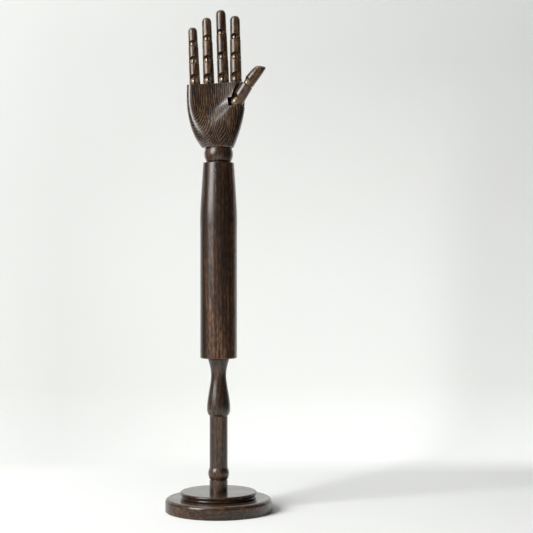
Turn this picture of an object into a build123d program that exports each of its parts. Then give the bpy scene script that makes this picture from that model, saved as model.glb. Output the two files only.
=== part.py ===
from build123d import *
from math import cos, pi, radians, sin, tan
import os

# Wooden hand mannequin on a turned stand
# Millimetres. The origin is the middle of the base's underside, and +Z is up.
# It is a right hand: the palm looks along -Y and the thumb is on the +X side.
# Every stretch of finger rides on a wooden ball with a steel strip and rivet inside.

# Base and plinth
base_dia = 145
base_thick = 18
base_edge_radius = 5
base_foot_chamfer = 1
plinth_dia = 104.5
plinth_thick = 8.6
plinth_bead_radius = 2.1
plinth_groove_width = 0.8
plinth_foot_dia = 101.5

# Post, turned with one bead ring near its foot
post_dia = 24.5
post_length = 102
ring_dia = 28.4
ring_width = 5.8
ring_height = 24.4
groove_radius = 0.9
tenon_dia = 13
tenon_length = 20
base_screw_dia = 5
base_screw_head_dia = 10
base_screw_length = 32
base_screw_cone = 90

# Baluster between the post and the forearm
baluster_dia = 31.6
baluster_length = 78.6
baluster_height_shares = (0.034, 0.087, 0.146, 0.242, 0.363, 0.604, 0.716, 0.864, 0.98)
baluster_width_shares = (0.9, 0.981, 1, 0.968, 0.885, 0.69, 0.653, 0.752, 0.915)
baluster_foot_share = 0.766
baluster_top_share = 0.9

# Forearm
arm_dia = 50
arm_length = 265.5
arm_edge_radius = 1.5
arm_straight_share = 0.66
arm_taper_height_shares = (0.788, 0.869, 0.952, 1)
arm_taper_width_shares = (0.978, 0.924, 0.87, 0.834)
arm_pin_drop = 11.4
arm_pin_turn = 10.7

# Wrist ball, its spring and the two cross pins
wrist_ball_radius = 19.5
wrist_ball_rise = 11.5
wrist_gap = 19.8
wrist_clearance = 0.3
wrist_bore_radius = 4.5
wrist_flare_radius = 8
spring_radius = 3.4
spring_bore_radius = 2.2
hook_radius = 2.6
hook_wire_radius = 0.6
cross_pin_dia = 3
cross_pin_recess = 2
palm_pin_rise = 19.1
palm_pin_turn = 28

# Palm
palm_width = 79
palm_length = 89.4
palm_depth = 38
palm_row_step_share = 0.15
palm_rows_shares = (
    (0.288, 0.258, 0.5, 0.5, 1),
    (0.398, 0.322, 0.51, 0.49, 1.3),
    (0.468, 0.378, 0.5, 0.455, 1.45),
    (0.513, 0.421, 0.475, 0.42, 1.55),
    (0.539, 0.449, 0.445, 0.39, 1.6),
    (0.5485, 0.4515, 0.415, 0.365, 1.65),
    (0.547, 0.434, 0.39, 0.35, 1.7),
    (0.543, 0.405, 0.37, 0.335, 1.7),
)
palm_heel_radius = 3
palm_outline_points = 40
palm_rows_between = 2
palm_top_slope = 3.3
palm_top_edge_radius = 0.8
palm_left_length_share = 0.953

# Hollow of the palm and the thumb mound beside it
scoop_radius = 78
scoop_depth = 7.5
scoop_place_share = -0.076
scoop_bend_rise = 68
scoop_run_in = 48
scoop_run_out = 16
scoop_rim_softness = 6
mound_radius = 40
mound_place_share = 0.349
mound_y = 15
mound_rise = 29.8
mound_lean = 48.5
mound_ridge_softness = 6

# Thumb: its ledge in the palm, ball, swivel stud and pieces
ledge_rise = 56.7
ledge_edge_radius = 1.8
notch_radius = 11.6
notch_lean = 20
notch_forward = 8
notch_seat_radius = 12.6
notch_seat_rise = 11.5
thumb_place_share = 0.308
thumb_y = -5
thumb_ball_radius = 7.5
thumb_ball_rise = 5.4
thumb_lean = 32.5
thumb_forward = 10
thumb_roll = 30
thumb_width = 18.4
thumb_top_share = 0.93
thumb_length = 29.8
thumb_arch_rise = 11
thumb_end_gap = 1.2
thumb_tip_ball_radius = 6
stud_radius = 1.5
stud_length = 20
stud_socket = 3.5
thumb_tip_length = 30.2
thumb_tip_height_shares = (-0.06, 0.15, 0.35, 0.52, 0.66, 0.78, 0.87, 0.94, 0.98, 1)
thumb_tip_width_shares = (0.89, 0.88, 0.855, 0.83, 0.79, 0.727, 0.62, 0.44, 0.27, 0.12)
thumb_tip_shift_shares = (0.01, 0.04, 0.08, 0.115, 0.15, 0.19, 0.25, 0.35, 0.45, 0.53)

# Finger balls, arches and end gaps, from the knuckle to the tip
ball_radii = (6.3, 5.75, 5.25)
seat_heights = (4, 2.5, 2.5)
arch_rises = (10.3, 7.8, 6.1)
arch_wall = 0.5
end_gaps = (1, 0.4, 0.4)
end_chamfers = (0.9, 0.5, 0.4)
taper_shares = (1, 0.945, 0.87)
piece_taper_share = 0.975
fingertip_dome_share = 1.15

# Fingers: place, lean and width of each, and the length of its three pieces
little_place_share = -0.4063
little_lean = 2.5
little_width = 14.6
little_lengths = (26.8, 23.6, 23.5)
ring_place_share = -0.1671
ring_lean = 2.1
ring_width = 15.3
ring_lengths = (27.2, 29, 30)
middle_place_share = 0.0823
middle_lean = 2.2
middle_width = 15.8
middle_lengths = (30.8, 32.4, 32.4)
index_place_share = 0.2987
index_lean = 1
index_width = 15.9
index_lengths = (29.6, 26.8, 30.2)

# Steel strips and rivets inside the fingers
strip_width = 4.2
strip_thick = 0.9
strip_side_gap = 0.2
slot_gap = 0.3
rivet_radius = 0.8
rivet_inset = 0.7
rivet_press_gap = 0.02
rivet_run_gap = 0.05
eye_gap = 0.3
slot_back_gap = 0.3
slot_flare = 10
tip_strip_share = 0.6
palm_strip_depth = 10.5

# Clearances
ball_run_gap = 0.15
glue_gap = 0.05
cut_overrun = 5

# Heights worked out from the sizes above
base_top = base_thick
plinth_top = base_top + plinth_thick
post_top = plinth_top + post_length
baluster_top = post_top + baluster_length
arm_top = baluster_top + arm_length
wrist_z = arm_top + wrist_ball_rise
palm_base = arm_top + wrist_gap
ledge_z = palm_base + ledge_rise
palm_left = -palm_width * palm_rows_shares[-1][0]
palm_left_length = palm_length * palm_left_length_share
thumb_x = palm_width * thumb_place_share


def palm_top_z(x):
    """Height of the sloping top of the palm at x."""
    return palm_base + palm_left_length + (x - palm_left) * tan(radians(palm_top_slope))


def save(piece, node):
    """Names a finished piece and writes it."""
    piece.part.label = node
    export_step(piece.part, f"parts/{node}.step")


def side_plane(centre, along, front):
    """Plane through a joint: its x runs to the palm side and its y runs up the piece."""
    return Plane(origin=centre, x_dir=front, z_dir=front.cross(along))


def turned_axis(side):
    """Axis of the turned piece that stands on a side plane."""
    return Axis(side.origin, side.y_dir)


os.makedirs("parts", exist_ok=True)

# Base disc with a rounded shoulder, a socket for the post and a sunk hole for the screw
with BuildPart() as base_disc:
    with BuildSketch():
        Circle(base_dia / 2)
    extrude(amount=base_thick)
    fillet(base_disc.edges().group_by(Axis.Z)[-1], base_edge_radius)
    chamfer(base_disc.edges().group_by(Axis.Z)[0], base_foot_chamfer)
    with BuildSketch(Plane.XY.offset(base_top)):
        Circle(tenon_dia / 2 + glue_gap)
    extrude(amount=-(tenon_length - plinth_thick), mode=Mode.SUBTRACT)
    with Locations(Plane.XY.rotated((180, 0, 0))):
        CounterSinkHole(
            base_screw_dia / 2 + glue_gap,
            base_screw_head_dia / 2 + glue_gap,
            counter_sink_angle=base_screw_cone,
        )
save(base_disc, "base_disc")

# Plinth: a bead round its top, a groove, and a smaller bead at its foot
with BuildPart() as base_plinth:
    with BuildSketch(Plane.XZ):
        with BuildLine():
            inner = tenon_dia / 2 + glue_gap
            bead_x = plinth_dia / 2 - plinth_bead_radius
            groove_top = plinth_top - 2 * plinth_bead_radius
            groove_low = groove_top - plinth_groove_width
            foot_radius = (groove_low - base_top) / 2
            foot_x = plinth_foot_dia / 2 - foot_radius
            ThreePointArc(
                (foot_x, base_top),
                (foot_x + foot_radius, base_top + foot_radius),
                (foot_x, groove_low),
            )
            Polyline((foot_x, groove_low), (foot_x, groove_top), (bead_x, groove_top))
            ThreePointArc(
                (bead_x, groove_top),
                (bead_x + plinth_bead_radius, groove_top + plinth_bead_radius),
                (bead_x, plinth_top),
            )
            Polyline((bead_x, plinth_top), (inner, plinth_top), (inner, base_top), (foot_x, base_top))
        make_face()
    revolve(axis=Axis.Z)
save(base_plinth, "base_plinth")

# Post: tenons at both ends, a bead ring and a small groove under it
with BuildPart() as post_shaft:
    with BuildSketch(Plane.XZ):
        with BuildLine():
            foot = plinth_top - tenon_length
            ring_low = plinth_top + ring_height - ring_width / 2
            Polyline(
                (0, foot),
                (tenon_dia / 2, foot),
                (tenon_dia / 2, plinth_top),
                (post_dia / 2, plinth_top),
                (post_dia / 2, ring_low - 2 * groove_radius),
            )
            ThreePointArc(
                (post_dia / 2, ring_low - 2 * groove_radius),
                (post_dia / 2 - groove_radius, ring_low - groove_radius),
                (post_dia / 2, ring_low),
            )
            ThreePointArc(
                (post_dia / 2, ring_low),
                (ring_dia / 2, ring_low + ring_width / 2),
                (post_dia / 2, ring_low + ring_width),
            )
            Polyline(
                (post_dia / 2, ring_low + ring_width),
                (post_dia / 2, post_top),
                (tenon_dia / 2, post_top),
                (tenon_dia / 2, post_top + tenon_length),
                (0, post_top + tenon_length),
                (0, foot),
            )
        make_face()
    revolve(axis=Axis.Z)
    with BuildSketch(Plane.XY.offset(foot)):
        Circle(base_screw_dia / 2 + glue_gap)
    extrude(amount=base_screw_length, mode=Mode.SUBTRACT)
save(post_shaft, "post_shaft")

# Baluster: a belly, a waist and a flare that ends under the forearm
with BuildPart() as post_baluster:
    with BuildSketch(Plane.XZ):
        with BuildLine():
            points = [
                (baluster_dia / 2 * width, post_top + baluster_length * height)
                for height, width in zip(baluster_height_shares, baluster_width_shares)
            ]
            foot_point = (baluster_dia / 2 * baluster_foot_share, post_top)
            top_point = (baluster_dia / 2 * baluster_top_share, baluster_top)
            Polyline((0, post_top), foot_point, points[0])
            Spline(*points)
            Polyline(
                points[-1],
                top_point,
                (tenon_dia / 2, baluster_top),
                (tenon_dia / 2, baluster_top + tenon_length),
                (0, baluster_top + tenon_length),
                (0, post_top),
            )
        make_face()
    revolve(axis=Axis.Z)
    with BuildSketch(Plane.XY.offset(post_top)):
        Circle(tenon_dia / 2 + glue_gap)
    extrude(amount=tenon_length + glue_gap, mode=Mode.SUBTRACT)
save(post_baluster, "post_baluster")

# Steel screw that pulls the post down onto the base
with BuildPart() as base_screw:
    with BuildSketch(Plane.XZ):
        with BuildLine():
            shank = base_screw_dia / 2
            head = base_screw_head_dia / 2
            tip = base_screw_length + head - shank
            Polyline((0, 0), (head, 0), (shank, head - shank), (shank, tip - 2 * shank), (0, tip), (0, 0))
        make_face()
    revolve(axis=Axis.Z)
save(base_screw, "base_screw")


def pin_plane(height, turn):
    """Plane across a cross pin that is turned a little to the left of the front."""
    return Plane(origin=(0, 0, height), z_dir=(-sin(radians(turn)), -cos(radians(turn)), 0))


arm_pin_plane = pin_plane(arm_top - arm_pin_drop, arm_pin_turn)
palm_pin_plane = pin_plane(palm_base + palm_pin_rise, palm_pin_turn)
arm_pin_half = arm_dia / 2 * arm_taper_width_shares[2] - cross_pin_recess
palm_pin_half = palm_depth * palm_rows_shares[2][3] - cross_pin_recess

# Forearm: straight for two thirds, then a gentle taper to the cup for the wrist ball
with BuildPart() as forearm:
    with BuildSketch(Plane.XZ):
        with BuildLine():
            straight_top = (arm_dia / 2, baluster_top + arm_length * arm_straight_share)
            taper = [
                (arm_dia / 2 * width, baluster_top + arm_length * height)
                for height, width in zip(arm_taper_height_shares, arm_taper_width_shares)
            ]
            Polyline((0, baluster_top), (arm_dia / 2, baluster_top), straight_top)
            Spline(straight_top, *taper)
            Polyline(taper[-1], (0, arm_top), (0, baluster_top))
        make_face()
    revolve(axis=Axis.Z)
    fillet(forearm.edges().group_by(Axis.Z)[0], arm_edge_radius)
    fillet(forearm.edges().group_by(Axis.Z)[-1], arm_edge_radius)
    with Locations((0, 0, wrist_z)):
        Sphere(wrist_ball_radius + wrist_clearance, mode=Mode.SUBTRACT)
    with BuildSketch(Plane.XY.offset(arm_top)):
        Circle(wrist_bore_radius)
    extrude(amount=-(arm_pin_drop + 2 * wrist_bore_radius), mode=Mode.SUBTRACT)
    with BuildSketch(Plane.XY.offset(baluster_top)):
        Circle(tenon_dia / 2 + glue_gap)
    extrude(amount=tenon_length + glue_gap, mode=Mode.SUBTRACT)
    with BuildSketch(arm_pin_plane.offset(-arm_pin_half)):
        Circle(cross_pin_dia / 2 + glue_gap)
    extrude(amount=arm_pin_half + arm_dia, mode=Mode.SUBTRACT)
save(forearm, "forearm")

with BuildPart() as forearm_pin:
    with BuildSketch(arm_pin_plane):
        Circle(cross_pin_dia / 2)
    extrude(amount=arm_pin_half, both=True)
save(forearm_pin, "forearm_pin")

with BuildPart() as palm_pin:
    with BuildSketch(palm_pin_plane):
        Circle(cross_pin_dia / 2)
    extrude(amount=palm_pin_half, both=True)
save(palm_pin, "palm_pin")

# Wrist ball: its bore flares both ways so that the spring can lean
with BuildPart() as wrist_ball:
    with BuildSketch(Plane.XZ):
        with BuildLine():
            mouth = (wrist_ball_radius**2 - wrist_flare_radius**2) ** 0.5
            ThreePointArc(
                (wrist_flare_radius, wrist_z - mouth),
                (wrist_ball_radius, wrist_z),
                (wrist_flare_radius, wrist_z + mouth),
            )
            Polyline(
                (wrist_flare_radius, wrist_z + mouth),
                (wrist_bore_radius, wrist_z),
                (wrist_flare_radius, wrist_z - mouth),
            )
        make_face()
    revolve(axis=Axis.Z)
save(wrist_ball, "wrist_ball")

# Spring: a closed coil drawn as a tube, with a hook ring round each cross pin
with BuildPart() as wrist_spring:
    coil_low = arm_pin_plane.origin.Z + hook_radius
    coil_top = palm_pin_plane.origin.Z - hook_radius
    with BuildSketch(Plane.XY.offset(coil_low)):
        Circle(spring_radius)
    extrude(amount=coil_top - coil_low)
    with BuildSketch(Plane.XY.offset(coil_low + 2 * hook_wire_radius)):
        Circle(spring_bore_radius)
    extrude(amount=coil_top - coil_low - 4 * hook_wire_radius, mode=Mode.SUBTRACT)
    with Locations(arm_pin_plane, palm_pin_plane):
        Torus(hook_radius, hook_wire_radius)
save(wrist_spring, "wrist_spring")


def soft_max(first, second, softness):
    """The larger of two values, rounded off where they cross."""
    return (first + second + ((first - second) ** 2 + softness**2) ** 0.5) / 2


def scoop_y(x, z):
    """Surface of the scoop: a barrel in front of the palm that draws in towards the heel."""
    turn = (scoop_run_in**2 + scoop_run_out**2) / (2 * scoop_run_out)
    below = max(palm_base + scoop_bend_rise - z, 0)
    barrel = scoop_radius - turn + max(turn**2 - below**2, 0) ** 0.5
    across = x - palm_width * scoop_place_share
    centre = scoop_depth - palm_depth * palm_rows_shares[-1][2] - scoop_radius
    return centre + max(barrel**2 - across**2, 0) ** 0.5


def mound_front_y(x, z):
    """Front of the thumb mound: a round log that leans towards the thumb."""
    lean = radians(mound_lean)
    across = (x - palm_width * mound_place_share) * cos(lean) - (z - palm_base - mound_rise) * sin(lean)
    return mound_y - max(mound_radius**2 - across**2, 0) ** 0.5


def hollowed(x, y, z):
    """The y of a point of the palm's block once its front is scooped out beside the mound."""
    cut = -soft_max(-scoop_y(x, z), -mound_front_y(x, z), mound_ridge_softness)
    return soft_max(y, cut, scoop_rim_softness)


def row_between(place):
    """Shares of the palm's outline at a place between its given rows, on a smooth curve through them."""
    last = len(palm_rows_shares) - 1
    low = min(int(place), last - 1)
    along = place - low
    start, end = palm_rows_shares[low], palm_rows_shares[low + 1]
    before = palm_rows_shares[low - 1] if low else [2 * a - b for a, b in zip(start, end)]
    after = palm_rows_shares[low + 2] if low + 2 <= last else [2 * b - a for a, b in zip(start, end)]
    return [
        a + along * ((b - p) + along * (2 * p - 5 * a + 4 * b - n + along * (3 * (a - b) + n - p))) / 2
        for p, a, b, n in zip(before, start, end, after)
    ]


def palm_outline(place, z):
    """Points round the palm at one height: an oval drawn out towards its corners, with a hollowed front."""
    left, right, front, back, squareness = row_between(place)
    middle = palm_width * (right - left) / 2
    half = palm_width * (right + left) / 2
    points = []
    for step in range(palm_outline_points):
        angle = 2 * pi * (step + 0.5) / palm_outline_points
        share = cos(angle)
        deep = (1 - abs(share) ** (2 * squareness)) ** (1 / (2 * squareness))
        x = middle + half * share
        y = palm_depth * (back * deep if sin(angle) > 0 else -front * deep)
        points.append((x, y if sin(angle) > 0 else hollowed(x, y, z)))
    return points


def knuckle_plane(finger_x, lean):
    """Side plane of a knuckle: the finger leans to the little finger's side."""
    along = Vector(-sin(radians(lean)), 0, cos(radians(lean)))
    centre = Vector(finger_x, 0, palm_top_z(finger_x)) + along * seat_heights[0]
    return side_plane(centre, along, Vector(0, -1, 0))


fingers = {
    "little": (knuckle_plane(palm_width * little_place_share, little_lean), little_width, little_lengths),
    "ring": (knuckle_plane(palm_width * ring_place_share, ring_lean), ring_width, ring_lengths),
    "middle": (knuckle_plane(palm_width * middle_place_share, middle_lean), middle_width, middle_lengths),
    "index": (knuckle_plane(palm_width * index_place_share, index_lean), index_width, index_lengths),
}
strip_step = (strip_thick + strip_side_gap) / 2
slot_half = strip_step + strip_thick / 2 + slot_gap
slot_back = strip_width / 2 + slot_back_gap

# Thumb directions: up along the thumb, and the pad side that it bends to
thumb_up = Vector(tan(radians(thumb_lean)), -tan(radians(thumb_forward)), 1).normalized()
thumb_out = (Vector(1, 0, 0) - thumb_up * thumb_up.X).normalized()
thumb_face = thumb_up.cross(thumb_out) * -1
thumb_front = thumb_out * -cos(radians(thumb_roll)) + thumb_face * sin(radians(thumb_roll))
thumb_centre = Vector(thumb_x, thumb_y, ledge_z + thumb_ball_rise)
thumb_side = side_plane(thumb_centre, thumb_up, thumb_front)
thumb_tip_side = side_plane(thumb_centre + thumb_up * thumb_length, thumb_up, thumb_front)

# Palm: lofted block with a hollowed front, less the thumb notch, the cups and the pockets
with BuildPart() as palm:
    for step in range(palm_rows_between * (len(palm_rows_shares) - 1) + 1):
        place = step / palm_rows_between
        row_z = palm_base + palm_length * palm_row_step_share * place
        with BuildSketch(Plane.XY.offset(row_z)):
            with BuildLine():
                Spline(*palm_outline(place, row_z), periodic=True)
            make_face()
    loft()
    fillet(palm.edges().group_by(Axis.Z)[0], palm_heel_radius)
    with BuildSketch(Plane.XZ):
        with BuildLine():
            low_end = (-palm_width, palm_top_z(-palm_width))
            high_end = (palm_width, palm_top_z(palm_width))
            roof = palm_top_z(palm_width) + palm_length
            Polyline(low_end, high_end, (palm_width, roof), (-palm_width, roof), low_end)
        make_face()
    extrude(amount=palm_depth, both=True, mode=Mode.SUBTRACT)
    fillet(palm.faces().sort_by(Axis.Z)[-1].edges(), palm_top_edge_radius)
    with BuildSketch(Plane.XY.offset(ledge_z)):
        with Locations((thumb_x, thumb_y)):
            Circle(notch_radius)
        with BuildLine():
            Polyline(
                (thumb_x, thumb_y + notch_radius),
                (palm_width, thumb_y + notch_radius),
                (palm_width, -palm_depth),
                (thumb_x - notch_radius, -palm_depth),
                (thumb_x - notch_radius, thumb_y),
                (thumb_x, thumb_y),
                (thumb_x, thumb_y + notch_radius),
            )
        make_face()
    notch_rises_to = (tan(radians(notch_lean)), -tan(radians(notch_forward)), 1)
    extrude(amount=palm_length, dir=notch_rises_to, mode=Mode.SUBTRACT)
    with BuildSketch(Plane.XY.offset(ledge_z)):
        with Locations((thumb_x, thumb_y)):
            Circle(notch_seat_radius)
    extrude(amount=notch_seat_rise, mode=Mode.SUBTRACT)
    ledge_edges = palm.edges().filter_by_position(Axis.Z, ledge_z - glue_gap, ledge_z + glue_gap)
    fillet(ledge_edges.filter_by(GeomType.BSPLINE), ledge_edge_radius)
    with Locations((0, 0, wrist_z)):
        Sphere(wrist_ball_radius + wrist_clearance, mode=Mode.SUBTRACT)
    with BuildSketch(Plane.XY.offset(palm_base)):
        Circle(wrist_bore_radius)
    extrude(amount=palm_pin_rise + wrist_bore_radius, mode=Mode.SUBTRACT)
    with BuildSketch(palm_pin_plane.offset(-palm_pin_half)):
        Circle(cross_pin_dia / 2 + glue_gap)
    extrude(amount=palm_pin_half + palm_depth, mode=Mode.SUBTRACT)
    with Locations(thumb_centre):
        Sphere(thumb_ball_radius + ball_run_gap, mode=Mode.SUBTRACT)
    with BuildSketch(Plane.XY.offset(ledge_z)):
        with Locations((thumb_x, thumb_y)):
            Circle(stud_radius + rivet_run_gap)
    extrude(amount=-(stud_length + glue_gap), mode=Mode.SUBTRACT)
    for side, width, lengths in fingers.values():
        with Locations(side.origin):
            Sphere(ball_radii[0] + ball_run_gap, mode=Mode.SUBTRACT)
        with BuildSketch(side.offset(-strip_step)):
            with Locations((0, -palm_strip_depth / 2)):
                Rectangle(strip_width + 2 * glue_gap, palm_strip_depth + 2 * glue_gap)
        extrude(amount=strip_thick / 2 + glue_gap, both=True, mode=Mode.SUBTRACT)
save(palm, "palm")


def strip(length, low_hole, high_hole):
    """Flat strip with round ends, from one joint up to the next, drawn on its side plane."""
    with Locations((0, length / 2)):
        SlotCenterToCenter(length, strip_width, rotation=90)
    if low_hole:
        Circle(low_hole, mode=Mode.SUBTRACT)
    if high_hole:
        with Locations((0, length)):
            Circle(high_hole, mode=Mode.SUBTRACT)


# Four strips let into the top of the palm, with their eyes inside the knuckle balls
with BuildPart() as knuckle_links:
    for side, width, lengths in fingers.values():
        foot_plane = Plane(
            origin=side.origin - side.y_dir * (palm_strip_depth - strip_width / 2),
            x_dir=side.x_dir,
            z_dir=side.z_dir,
        )
        with BuildSketch(foot_plane.offset(-strip_step)):
            strip(palm_strip_depth - strip_width / 2, 0, rivet_radius + eye_gap)
        extrude(amount=strip_thick / 2, both=True)
save(knuckle_links, "knuckle_links")


def slotted_ball(node, side, radius, spreads):
    """Wooden ball with a slot that is open above, below and in front, and a rivet bore."""
    with BuildPart() as ball:
        with Locations(side.origin):
            Sphere(radius)
        with BuildSketch(side):
            with Locations((radius, 0)):
                Rectangle(2 * (radius + slot_back), 4 * radius)
        extrude(amount=slot_half, both=True, mode=Mode.SUBTRACT)
        if spreads:
            reach = slot_half + 2 * radius * tan(radians(slot_flare))
            front = Plane(origin=side.origin, x_dir=side.z_dir, z_dir=side.z_dir.cross(side.y_dir))
            with BuildSketch(front.offset(slot_back)):
                with BuildLine():
                    Polyline(
                        (slot_half, 0),
                        (reach, -2 * radius),
                        (-reach, -2 * radius),
                        (-slot_half, 0),
                        (slot_half, 0),
                    )
                make_face()
            extrude(amount=-(slot_back + 2 * radius), mode=Mode.SUBTRACT)
        with BuildSketch(side):
            Circle(rivet_radius + rivet_run_gap)
        extrude(amount=radius + cut_overrun, both=True, mode=Mode.SUBTRACT)
    save(ball, node)


def link(node, side, ball_radius, offset, length, high_hole):
    """Steel strip of one piece, and the rivet that carries it in the ball below."""
    with BuildPart() as steel:
        with BuildSketch(side.offset(offset)):
            strip(length, rivet_radius + rivet_press_gap, high_hole)
        extrude(amount=strip_thick / 2, both=True)
        with BuildSketch(side):
            Circle(rivet_radius)
        extrude(amount=ball_radius - rivet_inset, both=True)
    save(steel, node)


def cut_joint(side, length, radius, low, arch, ball_radius, top_ball_radius, offset, strip_length):
    """Cuts that every piece has: a front arch, eased below for bending, ball cups and a strip slot."""
    far = radius + cut_overrun
    bore = radius - arch_wall
    front = Plane(origin=side.origin, x_dir=side.z_dir, z_dir=side.x_dir)
    rise = arch - bore if front.y_dir.dot(side.y_dir) > 0 else bore - arch
    with BuildSketch(front.offset(slot_back)) as bore_cut:
        with Locations((0, rise)):
            Circle(bore)
    extrude(bore_cut.sketch, amount=far, mode=Mode.SUBTRACT)
    with BuildSketch(side) as arch_cut:
        with BuildLine():
            Polyline(
                (0, low),
                (far, low + (arch - low) * far / radius),
                (far, low - far),
                (0, low - far),
                (0, low),
            )
        make_face()
    extrude(arch_cut.sketch, amount=far, both=True, mode=Mode.SUBTRACT)
    with Locations(side.origin):
        Sphere(ball_radius + ball_run_gap, mode=Mode.SUBTRACT)
    if top_ball_radius:
        with Locations(side.origin + side.y_dir * length):
            Sphere(top_ball_radius + glue_gap, mode=Mode.SUBTRACT)
    with BuildSketch(side.offset(offset)) as strip_cut:
        with Locations((0, strip_length / 2)):
            Rectangle(strip_width + 2 * glue_gap, strip_length + strip_width + 2 * glue_gap)
    extrude(strip_cut.sketch, amount=strip_thick / 2 + glue_gap, both=True, mode=Mode.SUBTRACT)


def finger(name, knuckle, width, lengths):
    """One finger: three turned pieces, three balls and their steel strips."""
    side = knuckle
    pieces = (f"{name}_proximal", f"{name}_middle", f"{name}_distal")
    balls = (f"{name}_knuckle_ball", f"{name}_middle_ball", f"{name}_tip_ball")
    for level, length in enumerate(lengths):
        last = level == len(lengths) - 1
        radius = width / 2 * taper_shares[level]
        top_radius = radius * piece_taper_share
        bevel = end_chamfers[level]
        low = end_gaps[level] - seat_heights[level]
        offset = strip_step if level % 2 == 0 else -strip_step
        strip_length = length * tip_strip_share if last else length
        slotted_ball(balls[level], side, ball_radii[level], level == 0)
        with BuildPart() as piece:
            with BuildSketch(side):
                with BuildLine():
                    foot = Polyline((0, low), (radius - bevel, low), (radius, low + bevel))
                    if last:
                        dome = radius * fingertip_dome_share
                        Line(foot @ 1, (top_radius, length - dome))
                        Spline((top_radius, length - dome), (0, length), tangents=((0, 1), (-1, 0)))
                        Line((0, length), (0, low))
                    else:
                        top = length - seat_heights[level + 1]
                        shoulder = end_chamfers[level + 1]
                        Polyline(
                            foot @ 1,
                            (top_radius, top - shoulder),
                            (top_radius - shoulder, top),
                            (0, top),
                            (0, low),
                        )
                make_face()
            revolve(axis=turned_axis(side))
            next_ball = 0 if last else ball_radii[level + 1]
            arch = arch_rises[level]
            cut_joint(side, length, radius, low, arch, ball_radii[level], next_ball, offset, strip_length)
        save(piece, pieces[level])
        high_hole = 0 if last else rivet_radius + eye_gap
        link(f"{pieces[level]}_link", side, ball_radii[level], offset, strip_length, high_hole)
        side = Plane(origin=side.origin + side.y_dir * length, x_dir=side.x_dir, z_dir=side.z_dir)


for finger_name, (knuckle, width, lengths) in fingers.items():
    finger(finger_name, knuckle, width, lengths)

# Thumb base ball: slotted for the strip, with a socket for the swivel stud under it
with BuildPart() as thumb_base_ball:
    with Locations(thumb_centre):
        Sphere(thumb_ball_radius)
    with BuildSketch(thumb_side):
        with Locations((thumb_ball_radius, thumb_ball_radius)):
            Rectangle(2 * (thumb_ball_radius + slot_back), 2 * (thumb_ball_radius + slot_back))
    extrude(amount=slot_half, both=True, mode=Mode.SUBTRACT)
    with BuildSketch(thumb_side):
        Circle(rivet_radius + rivet_run_gap)
    extrude(amount=thumb_ball_radius + cut_overrun, both=True, mode=Mode.SUBTRACT)
    with BuildSketch(Plane.XY.offset(thumb_centre.Z - thumb_ball_radius - cut_overrun)):
        with Locations((thumb_x, thumb_y)):
            Circle(stud_radius + glue_gap)
    extrude(amount=cut_overrun + stud_socket + glue_gap, mode=Mode.SUBTRACT)
save(thumb_base_ball, "thumb_base_ball")

with BuildPart() as thumb_stud:
    with BuildSketch(Plane.XY.offset(thumb_centre.Z - thumb_ball_radius + stud_socket)):
        with Locations((thumb_x, thumb_y)):
            Circle(stud_radius)
    extrude(amount=-(stud_length + thumb_ball_rise + stud_socket - thumb_ball_radius))
save(thumb_stud, "thumb_stud")

# Lower thumb piece: turned, then cut level over the ledge and sloped on the pad side
with BuildPart() as thumb_proximal:
    thumb_radius = thumb_width / 2
    thumb_low = thumb_end_gap - thumb_ball_rise
    thumb_top = thumb_length - seat_heights[1]
    thumb_top_radius = thumb_radius * thumb_top_share
    with BuildSketch(thumb_side):
        with BuildLine():
            shoulder = end_chamfers[1]
            Polyline(
                (0, -thumb_width),
                (thumb_radius, -thumb_width),
                (thumb_radius, 0),
                (thumb_top_radius, thumb_top - shoulder),
                (thumb_top_radius - shoulder, thumb_top),
                (0, thumb_top),
                (0, -thumb_width),
            )
        make_face()
    revolve(axis=turned_axis(thumb_side))
    with BuildSketch(Plane.XY.offset(ledge_z + thumb_end_gap)):
        with Locations((thumb_x, thumb_y)):
            Rectangle(4 * thumb_width, 4 * thumb_width)
    extrude(amount=-2 * thumb_width, mode=Mode.SUBTRACT)
    cut_joint(
        thumb_side,
        thumb_length,
        thumb_radius,
        thumb_low,
        thumb_arch_rise,
        thumb_ball_radius,
        thumb_tip_ball_radius,
        strip_step,
        thumb_length,
    )
save(thumb_proximal, "thumb_proximal")
link("thumb_proximal_link", thumb_side, thumb_ball_radius, strip_step, thumb_length, rivet_radius + eye_gap)

# Tip piece of the thumb: round sections that drift to the back and end in a point
slotted_ball("thumb_tip_ball", thumb_tip_side, thumb_tip_ball_radius, False)
with BuildPart() as thumb_distal:
    rows = zip(thumb_tip_height_shares, thumb_tip_width_shares, thumb_tip_shift_shares)
    for height, width, shift in rows:
        centre = (
            thumb_tip_side.origin
            + thumb_up * (thumb_tip_length * height)
            - thumb_front * (thumb_width * shift)
        )
        with BuildSketch(Plane(origin=centre, x_dir=thumb_front, z_dir=thumb_up)):
            Circle(thumb_width / 2 * width)
    loft(ruled=True)
    cut_joint(
        thumb_tip_side,
        thumb_tip_length,
        thumb_width / 2 * thumb_tip_width_shares[1],
        end_gaps[1] - seat_heights[1],
        arch_rises[1],
        thumb_tip_ball_radius,
        0,
        -strip_step,
        thumb_tip_length * tip_strip_share,
    )
save(thumb_distal, "thumb_distal")
link(
    "thumb_distal_link",
    thumb_tip_side,
    thumb_tip_ball_radius,
    -strip_step,
    thumb_tip_length * tip_strip_share,
    0,
)
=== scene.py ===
import math

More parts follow.
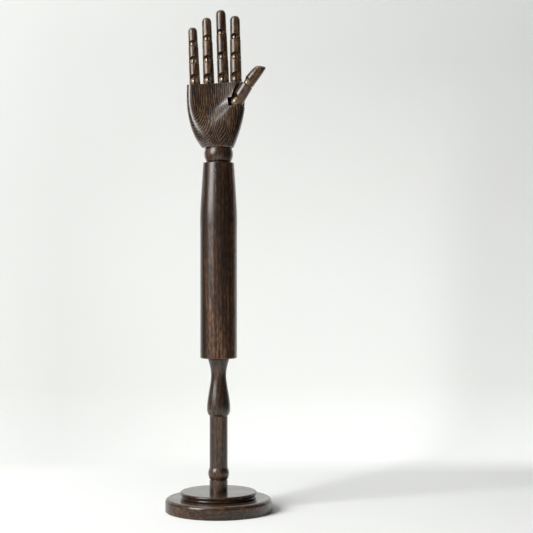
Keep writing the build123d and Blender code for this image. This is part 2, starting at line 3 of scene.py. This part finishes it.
import bpy
import numpy as np
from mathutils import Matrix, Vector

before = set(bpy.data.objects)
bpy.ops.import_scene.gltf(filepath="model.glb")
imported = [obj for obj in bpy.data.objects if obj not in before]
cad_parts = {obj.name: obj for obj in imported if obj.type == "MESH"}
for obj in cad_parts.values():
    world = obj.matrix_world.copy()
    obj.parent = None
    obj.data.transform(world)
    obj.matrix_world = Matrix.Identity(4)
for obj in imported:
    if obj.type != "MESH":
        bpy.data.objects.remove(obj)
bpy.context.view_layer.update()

# Metres, in the part's own frame: the middle of the base's underside is the origin and +Z is up.
FINGERS = ("little", "ring", "middle", "index")


# Small helpers for materials

def linear(red, green, blue):
    """A screen colour from 0 to 255 as the shader's linear colour: ((c + 0.055) / 1.055) to the power 2.4."""
    shares = [channel / 255 for channel in (red, green, blue)]
    curve = [s / 12.92 if s <= 0.04045 else ((s + 0.055) / 1.055) ** 2.4 for s in shares]
    return (*curve, 1)


def blank_material(name):
    """A material that holds only its output and one shader, and a function that adds nodes to it."""
    material = bpy.data.materials.new(name)
    material.use_nodes = True
    tree = material.node_tree
    shader = tree.nodes["Principled BSDF"]

    def add(kind, settings=None, **links):
        node = tree.nodes.new(kind)
        for key, value in (settings or {}).items():
            setattr(node, key, value)
        for key, value in links.items():
            socket = node.inputs[int(key[1:])] if key[1:].isdigit() else node.inputs[key.replace("_", " ")]
            if isinstance(value, bpy.types.NodeSocket):
                tree.links.new(value, socket)
            else:
                socket.default_value = value
        return node

    return material, tree, shader, add


def ramp(add, factor, stops):
    """A colour ramp whose stops are (place, colour)."""
    node = add("ShaderNodeValToRGB", Fac=factor)
    elements = node.color_ramp.elements
    elements[0].position, elements[0].color = stops[0]
    elements[1].position, elements[1].color = stops[-1]
    for place, colour in stops[1:-1]:
        elements.new(place).color = colour
    return node.outputs["Color"]


def spread(add, value, low, high, to_low=0.0, to_high=1.0):
    """The value's stretch from low to high, carried to the stretch from to_low to to_high, and held there."""
    return add("ShaderNodeMapRange", _0=value, _1=low, _2=high, _3=to_low, _4=to_high).outputs[0]


def blend_sum(add, first, second, share):
    """first plus share times second."""
    return add("ShaderNodeMath", {"operation": "MULTIPLY_ADD"}, _0=second, _1=share, _2=first).outputs[0]


# Tones of the stained wood as (place on the ramp, colour), from its darkest streak to its brightest fleck

FOREARM_TONES = [(0.0, linear(24, 14, 8)), (0.4, linear(50, 33, 22)), (0.66, linear(84, 57, 39)),
                 (0.87, linear(116, 79, 51)), (1.0, linear(140, 95, 60))]
PALM_TONES = [(0.0, linear(22, 14, 9)), (0.35, linear(46, 33, 24)), (0.7, linear(88, 66, 49)),
              (1.0, linear(132, 103, 77))]
FINGER_TONES = [(0.0, linear(28, 17, 9)), (0.35, linear(62, 43, 27)), (0.7, linear(114, 86, 57)),
                (1.0, linear(160, 125, 84))]
BALL_TONES = [(0.0, linear(78, 58, 42)), (0.4, linear(132, 106, 80)), (0.75, linear(176, 148, 116)),
              (1.0, linear(204, 178, 144))]
STAND_TONES = [(0.0, linear(30, 20, 14)), (0.4, linear(56, 40, 29)), (0.7, linear(84, 61, 44)),
               (1.0, linear(118, 86, 60))]

PORE_TINT = (0.25, 0.22, 0.2, 1)
WOOD_DENT_DEPTH = 0.00025
COAT_DENT_DEPTH = 0.0002


def lacquer(add, tree, shader, tone, tones, pores, fibres, finish):
    """Colours the wood by its tone, darkens and dents it at the pores, and lays the lacquer over it.

    Roughness falls from gloss + 0.06 in the dark streaks to gloss - 0.04 in the light ones, and rises by 0.15 in
    the pores.
    """
    dark = add("ShaderNodeMix", {"data_type": "RGBA", "blend_type": "MULTIPLY"},
               Factor=spread(add, pores, 0, 1, 0, finish["pore_depth"]), _6=ramp(add, tone, tones),
               _7=PORE_TINT)
    tree.links.new(dark.outputs[2], shader.inputs["Base Color"])
    rough = blend_sum(add, spread(add, tone, 0, 1, finish["gloss"] + 0.06, finish["gloss"] - 0.04), pores, 0.15)
    tree.links.new(rough, shader.inputs["Roughness"])
    relief = blend_sum(add, fibres, pores, -1.0)
    bump = add("ShaderNodeBump", Height=relief, Strength=finish["dents"], Distance=WOOD_DENT_DEPTH)
    tree.links.new(bump.outputs[0], shader.inputs["Normal"])
    skin = add("ShaderNodeBump", Height=fibres, Strength=finish["dents"] / 3, Distance=COAT_DENT_DEPTH)
    tree.links.new(skin.outputs[0], shader.inputs["Coat Normal"])
    shader.inputs["Coat Weight"].default_value = finish["coat"]
    shader.inputs["Coat Roughness"].default_value = finish["coat_rough"]
    shader.inputs["Coat IOR"].default_value = finish["coat_ior"]
    shader.inputs["Specular IOR Level"].default_value = 0.15


def stretched(add, place, share):
    """The place with its height times the share, so that a pattern read there runs long down the grain."""
    return add("ShaderNodeVectorMath", {"operation": "MULTIPLY"}, _0=place, _1=(1, 1, share)).outputs[0]


def fine_figure(add, grain):
    """Fibres and open pores: two noises stretched forty times along the grain."""
    fine_grain = stretched(add, grain, 0.025)
    fibres = add("ShaderNodeTexNoise", Vector=fine_grain, Scale=2600, Detail=2.0).outputs["Fac"]
    pores = add("ShaderNodeTexNoise", Vector=fine_grain, Scale=1500, Detail=1.0).outputs["Fac"]
    return fibres, spread(add, pores, 0.60, 0.68)


def short_flecks(add, grain):
    """Noise about 2 mm across and four times as long down the grain, from -0.5 to 0.5."""
    place = stretched(add, grain, 0.22)
    flecks = add("ShaderNodeTexNoise", Vector=place, Scale=560, Detail=2.0).outputs["Fac"]
    return spread(add, flecks, 0.36, 0.64, -0.5, 0.5)


def stained_wood(name, tones, turn=(0, 0, 0), shift=(0, 0, 0), ring_gap=0.004, ring_share=0.35, figure=230,
                 gloss=0.34, pore_depth=0.5, dents=0.15, coat=1.0, coat_rough=0.3, coat_ior=1.5):
    """Stained and lacquered hardwood.

    Growth rings are cylinders about the grain's own axis, bent by noise, a ring_gap apart. Streaks and clouds are
    noise stretched along that axis. Together with short flecks they choose the tone, and the fibres and pores
    dent the surface.
    """
    material, tree, shader, add = blank_material(name)
    place = add("ShaderNodeTexCoord").outputs["Object"]
    grain = add("ShaderNodeMapping", Vector=place, Rotation=turn, Location=shift).outputs[0]
    long_grain = stretched(add, grain, 0.07)
    rings = add("ShaderNodeTexWave", {"wave_type": "RINGS", "rings_direction": "Z", "wave_profile": "SAW"},
                Vector=long_grain, Scale=2 * math.pi / (20 * ring_gap), Distortion=2.2, Detail=2.0,
                Detail_Scale=0.6).outputs["Fac"]
    streaks = add("ShaderNodeTexNoise", Vector=long_grain, Scale=figure, Detail=5.0, Roughness=0.6,
                  Distortion=0.6).outputs["Fac"]
    clouds = add("ShaderNodeTexNoise", Vector=long_grain, Scale=figure / 5, Detail=2.0).outputs["Fac"]
    fibres, pores = fine_figure(add, grain)
    tone = blend_sum(add, spread(add, streaks, 0.3, 0.7, 0.05, 0.5), rings, ring_share)
    tone = blend_sum(add, tone, spread(add, clouds, 0.35, 0.65, -0.5, 0.5), 0.4)
    tone = blend_sum(add, tone, short_flecks(add, grain), 0.45)
    lacquer(add, tree, shader, tone, tones, pores, fibres,
            {"gloss": gloss, "pore_depth": pore_depth, "dents": dents, "coat": coat, "coat_rough": coat_rough,
             "coat_ior": coat_ior})
    return material


PALM_HEART = (0.003, 0, 0.545)
PALM_RING_GAP = 0.0027
PALM_BOW_DEPTH = 0.7
PALM_RING_SLANT = 0.35
PALM_RING_WANDER = 0.009


def palm_wood():
    """The palm's block, sawn so that its rings run up the face and turn in nested bows near its middle.

    A point's ring is the length of (across, bow depth times how far it lies under the heart), plus the slant times
    its depth into the block and a noise; the stripe is the sine of that length over the ring gap.
    """
    material, tree, shader, add = blank_material("palm_wood")
    place = add("ShaderNodeTexCoord").outputs["Object"]
    grain = add("ShaderNodeMapping", Vector=place, Rotation=(0, math.radians(4), 0)).outputs[0]
    long_grain = stretched(add, grain, 0.07)
    bend = add("ShaderNodeTexNoise", Vector=stretched(add, grain, 0.3), Scale=60, Detail=2.0).outputs["Fac"]
    from_heart = add("ShaderNodeVectorMath", {"operation": "SUBTRACT"}, _0=grain, _1=PALM_HEART).outputs[0]
    axes = add("ShaderNodeSeparateXYZ", Vector=from_heart).outputs
    below = add("ShaderNodeMath", {"operation": "MINIMUM"}, _0=axes[2], _1=0.0).outputs[0]
    below = add("ShaderNodeMath", {"operation": "MULTIPLY"}, _0=below, _1=PALM_BOW_DEPTH).outputs[0]
    bow = add("ShaderNodeCombineXYZ", _0=axes[0], _1=below).outputs[0]
    ring = add("ShaderNodeVectorMath", {"operation": "LENGTH"}, _0=bow).outputs["Value"]
    ring = blend_sum(add, ring, axes[1], PALM_RING_SLANT)
    ring = blend_sum(add, ring, bend, PALM_RING_WANDER)
    turns = add("ShaderNodeMath", {"operation": "MULTIPLY"}, _0=ring, _1=2 * math.pi / PALM_RING_GAP).outputs[0]
    stripe = spread(add, add("ShaderNodeMath", {"operation": "SINE"}, _0=turns).outputs[0], -0.8, 0.9)
    streaks = add("ShaderNodeTexNoise", Vector=long_grain, Scale=420, Detail=5.0, Roughness=0.6).outputs["Fac"]
    clouds = add("ShaderNodeTexNoise", Vector=grain, Scale=38, Detail=2.0).outputs["Fac"]
    fibres, pores = fine_figure(add, grain)
    tone = blend_sum(add, spread(add, streaks, 0.3, 0.7, -0.1, 0.3), stripe, 0.62)
    tone = blend_sum(add, tone, spread(add, clouds, 0.35, 0.65, -0.5, 0.5), 0.3)
    tone = blend_sum(add, tone, short_flecks(add, grain), 0.32)
    lacquer(add, tree, shader, tone, PALM_TONES, pores, fibres,
            {"gloss": 0.45, "pore_depth": 0.6, "dents": 0.08, "coat": 1.0, "coat_rough": 0.27, "coat_ior": 1.6})
    return material


def drawn_steel(name, turn=(0, 0, 0)):
    """Bright steel, drawn along its length: noise stretched along Z scratches it, and another noise stains it."""
    material, tree, shader, add = blank_material(name)
    place = add("ShaderNodeTexCoord").outputs["Object"]
    along = add("ShaderNodeMapping", Vector=place, Rotation=turn, Scale=(1, 1, 0.05)).outputs[0]
    scratches = add("ShaderNodeTexNoise", Vector=along, Scale=5200, Detail=3.0).outputs["Fac"]
    stains = add("ShaderNodeTexNoise", Vector=place, Scale=320, Detail=3.0).outputs["Fac"]
    colour = ramp(add, stains, [(0.3, linear(150, 148, 145)), (0.7, linear(196, 195, 192))])
    tree.links.new(colour, shader.inputs["Base Color"])
    tree.links.new(spread(add, scratches, 0.3, 0.7, 0.24, 0.42), shader.inputs["Roughness"])
    bump = add("ShaderNodeBump", Height=scratches, Strength=0.15, Distance=0.0001)
    tree.links.new(bump.outputs[0], shader.inputs["Normal"])
    shader.inputs["Metallic"].default_value = 1.0
    return material


def dress(node, material):
    """Gives a CAD node's object the material."""
    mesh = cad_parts[node].data
    mesh.materials.clear()
    mesh.materials.append(material)


def dress_stand():
    """The base's two discs are cut with the grain lying across, the turned pieces with the grain upright."""
    across = (0, math.radians(90), math.radians(12))
    flat = {"turn": across, "ring_gap": 0.006, "ring_share": 0.2, "figure": 160, "coat": 0.8, "coat_rough": 0.14}
    dress("base_disc", stained_wood("stand_base_wood", STAND_TONES, shift=(0, 0.03, 0.14), **flat))
    dress("base_plinth", stained_wood("stand_plinth_wood", STAND_TONES, shift=(0, 0.07, 0.05), **flat))
    dress("post_shaft", stained_wood("stand_post_wood", STAND_TONES, shift=(0.03, 0.02, 0), figure=260))
    dress("post_baluster", stained_wood("stand_baluster_wood", STAND_TONES, shift=(0.09, -0.05, 0.2), figure=260))
    dress("forearm", stained_wood("forearm_wood", FOREARM_TONES, turn=(math.radians(2), math.radians(1), 0),
                                  shift=(0.045, 0.035, 0), ring_gap=0.005, figure=230))
    dress("wrist_ball", stained_wood("wrist_ball_wood", FOREARM_TONES, shift=(0.03, 0.03, 0.1), figure=200))


def dress_hand():
    """Each finger is cut from its own stick, and its balls are paler and shinier than its stretches."""
    dress("palm", palm_wood())
    glossy = {"coat": 1.0, "coat_rough": 0.32, "coat_ior": 1.6, "dents": 0.04, "ring_share": 0.25}
    polished = {"coat": 1.0, "coat_rough": 0.2, "coat_ior": 1.7, "dents": 0.03, "gloss": 0.26, "ring_share": 0.2}
    for count, finger in enumerate(FINGERS):
        shift = (0.013 * count + 0.02, 0.017 * count, 0.031 * count)
        wood = stained_wood(finger + "_wood", FINGER_TONES, shift=shift, figure=280, **glossy)
        ball = stained_wood(finger + "_ball_wood", BALL_TONES, shift=shift[::-1], figure=300, **polished)
        for stretch in ("proximal", "middle", "distal"):
            dress(finger + "_" + stretch, wood)
        for joint in ("knuckle_ball", "middle_ball", "tip_ball"):
            dress(finger + "_" + joint, ball)
    wood = stained_wood("thumb_wood", FINGER_TONES, turn=(0, math.radians(-32), 0), shift=(0.07, 0.02, 0.1),
                        figure=280, **glossy)
    ball = stained_wood("thumb_ball_wood", BALL_TONES, shift=(0.02, 0.06, 0.03), figure=300, **polished)
    dress("thumb_proximal", wood)
    dress("thumb_distal", wood)
    dress("thumb_base_ball", ball)
    dress("thumb_tip_ball", ball)


def dress_steel():
    """The flat strips are scratched along Z, and the wire, pins, stud and screw along Y."""
    steel = drawn_steel("strip_steel")
    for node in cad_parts:
        if node.endswith("_link") or node.endswith("_links"):
            dress(node, steel)
    wire = drawn_steel("wire_steel", turn=(math.radians(90), 0, 0))
    for node in ("wrist_spring", "thumb_stud", "forearm_pin", "palm_pin", "base_screw"):
        dress(node, wire)


# Studio: a pale floor that curves up into a wall behind the object

FLOOR_HALF_WIDTH = 0.9
FLOOR_FRONT = -3.2
COVE_START = 0.44
COVE_RADIUS = 0.12
COVE_STEPS = 24
WALL_TOP = 2.6

# How much brighter than its colour the paint looks to the camera and in reflections; the floor's rise from left to
# right is painted light
FLOOR_GAIN_LEFT, FLOOR_GAIN_RIGHT = 1.1, 1.15
WALL_GAIN = 1.0


def backdrop():
    """A sweep along X of one outline: flat floor, a quarter circle up, then the wall.

    The quarter circle's points are (start + r sin a, r - r cos a) for a from 0 to 90 degrees.
    """
    arc = np.linspace(0, math.pi / 2, COVE_STEPS + 1)
    ys = np.concatenate(([FLOOR_FRONT], COVE_START + COVE_RADIUS * np.sin(arc), [COVE_START + COVE_RADIUS]))
    zs = np.concatenate(([0.0], COVE_RADIUS - COVE_RADIUS * np.cos(arc), [WALL_TOP]))
    xs = np.array([-FLOOR_HALF_WIDTH, FLOOR_HALF_WIDTH])
    points = np.stack([np.repeat(xs, len(ys)), np.tile(ys, 2), np.tile(zs, 2)], axis=1)
    row = np.arange(len(ys) - 1)
    faces = np.stack([row, row + len(ys), row + len(ys) + 1, row + 1], axis=1)
    mesh = bpy.data.meshes.new("studio_backdrop")
    mesh.from_pydata(points, [], faces)
    mesh.shade_smooth()
    sweep = bpy.data.objects.new("studio_backdrop", mesh)
    bpy.context.scene.collection.objects.link(sweep)
    mesh.materials.append(pale_paint())


def pale_paint():
    """Matt off-white paint with a faint cloudiness.

    To sight, straight or in a reflection, its colour is scaled: the floor by its gains, which rise from left to
    right as painted light, and the wall by its gain plus painted light that grows to the right and fades upwards.
    The wall's back is open to the camera, for views from behind.
    """
    material, tree, shader, add = blank_material("studio_paint")
    place = add("ShaderNodeTexCoord").outputs["Object"]
    clouds = add("ShaderNodeTexNoise", Vector=place, Scale=1.5, Detail=2.0).outputs["Fac"]
    colour = ramp(add, clouds, [(0.3, linear(232, 233, 231)), (0.7, linear(237, 238, 236))])
    axes = add("ShaderNodeSeparateXYZ", Vector=place).outputs
    # Painted light: the floor brightens from left to right
    floor_gain_and_painted_light = spread(add, axes[0], -0.3, 0.3, FLOOR_GAIN_LEFT, FLOOR_GAIN_RIGHT)
    # Painted light: the wall brightens towards the right, most near the floor
    wall_painted_light = add("ShaderNodeMath", {"operation": "MULTIPLY"}, _0=spread(add, axes[0], -0.3, 1.1, 0.0, 1.0),
                     _1=spread(add, axes[2], 0.0, 0.7, 1.0, 0.2)).outputs[0]
    wall_gain = add("ShaderNodeMath", _0=wall_painted_light, _1=WALL_GAIN).outputs[0]
    on_wall = spread(add, axes[1], COVE_START - 0.12, COVE_START + 0.04)
    gain = add("ShaderNodeMix", Factor=on_wall, _2=floor_gain_and_painted_light, _3=wall_gain).outputs[0]
    seen = add("ShaderNodeVectorMath", {"operation": "SCALE"}, _0=colour, Scale=gain).outputs[0]
    rays = add("ShaderNodeLightPath").outputs
    sight = add("ShaderNodeMath", {"operation": "MAXIMUM"}, _0=rays["Is Camera Ray"], _1=rays["Is Glossy Ray"])
    sight = add("ShaderNodeMath", {"operation": "MAXIMUM"}, _0=sight.outputs[0], _1=rays["Is Transmission Ray"])
    shown = add("ShaderNodeMix", {"data_type": "RGBA"}, Factor=sight.outputs[0], _6=colour, _7=seen).outputs[2]
    diffuse = add("ShaderNodeBsdfDiffuse", Color=shown, Roughness=0.5)
    open_back = add("ShaderNodeMath", {"operation": "MULTIPLY"}, _0=rays["Is Camera Ray"],
                    _1=add("ShaderNodeNewGeometry").outputs["Backfacing"]).outputs[0]
    one_sided = add("ShaderNodeMixShader", Fac=open_back, _1=diffuse.outputs[0],
                    _2=add("ShaderNodeBsdfTransparent").outputs[0])
    tree.links.new(one_sided.outputs[0], tree.nodes["Material Output"].inputs["Surface"])
    tree.nodes.remove(shader)
    return material


def soft_lamp(name, place, target, width, height, power):
    """A rectangular lamp at a place, turned to face a target."""
    lamp = bpy.data.lights.new(name, "AREA")
    lamp.shape = "RECTANGLE"
    lamp.size, lamp.size_y, lamp.energy = width, height, power
    holder = bpy.data.objects.new(name, lamp)
    bpy.context.scene.collection.objects.link(holder)
    away = Vector(place) - Vector(target)
    holder.location = place
    holder.rotation_euler = away.to_track_quat("Z", "Y").to_euler()


# The air's strength as a lamp, and as the camera sees it past the backdrop's edges

AIR_LIGHT = 0.04
AIR_SIGHT = 0.95


def light_studio():
    """A large lamp in front at the left, a weak one overhead, and nearly dark air."""
    soft_lamp("lamp_left", (-1.6, -1.3, 1.35), (0, 0, 0.34), 1.2, 1.6, 68)
    soft_lamp("lamp_top", (-0.5, -0.2, 2.3), (0, 0, 0), 1.2, 1.0, 9)
    world = bpy.data.worlds.new("studio_air")
    bpy.context.scene.world = world
    world.use_nodes = True
    background = world.node_tree.nodes["Background"]
    background.inputs["Color"].default_value = linear(236, 238, 236)
    rays = world.node_tree.nodes.new("ShaderNodeLightPath")
    strength = world.node_tree.nodes.new("ShaderNodeMapRange")
    strength.inputs["To Min"].default_value = AIR_LIGHT
    strength.inputs["To Max"].default_value = AIR_SIGHT
    world.node_tree.links.new(rays.outputs["Is Camera Ray"], strength.inputs["Value"])
    world.node_tree.links.new(strength.outputs["Result"], background.inputs["Strength"])


# Camera: level, looking along +Y, at the photograph's distance and height

IMAGE_SIDE_PIXELS = 533
FOCAL_LENGTH_PIXELS = 1300
CAMERA_PLACE = (0.065, -1.766, 0.3316)


def place_camera():
    camera = bpy.data.cameras.new("photo_camera")
    camera.lens = FOCAL_LENGTH_PIXELS / IMAGE_SIDE_PIXELS * camera.sensor_width
    holder = bpy.data.objects.new("photo_camera", camera)
    bpy.context.scene.collection.objects.link(holder)
    holder.location = CAMERA_PLACE
    holder.rotation_euler = (math.radians(90), 0, 0)
    bpy.context.scene.camera = holder


place_camera()
backdrop()
light_studio()
dress_stand()
dress_hand()
dress_steel()
bpy.context.scene.view_settings.view_transform = "Standard"
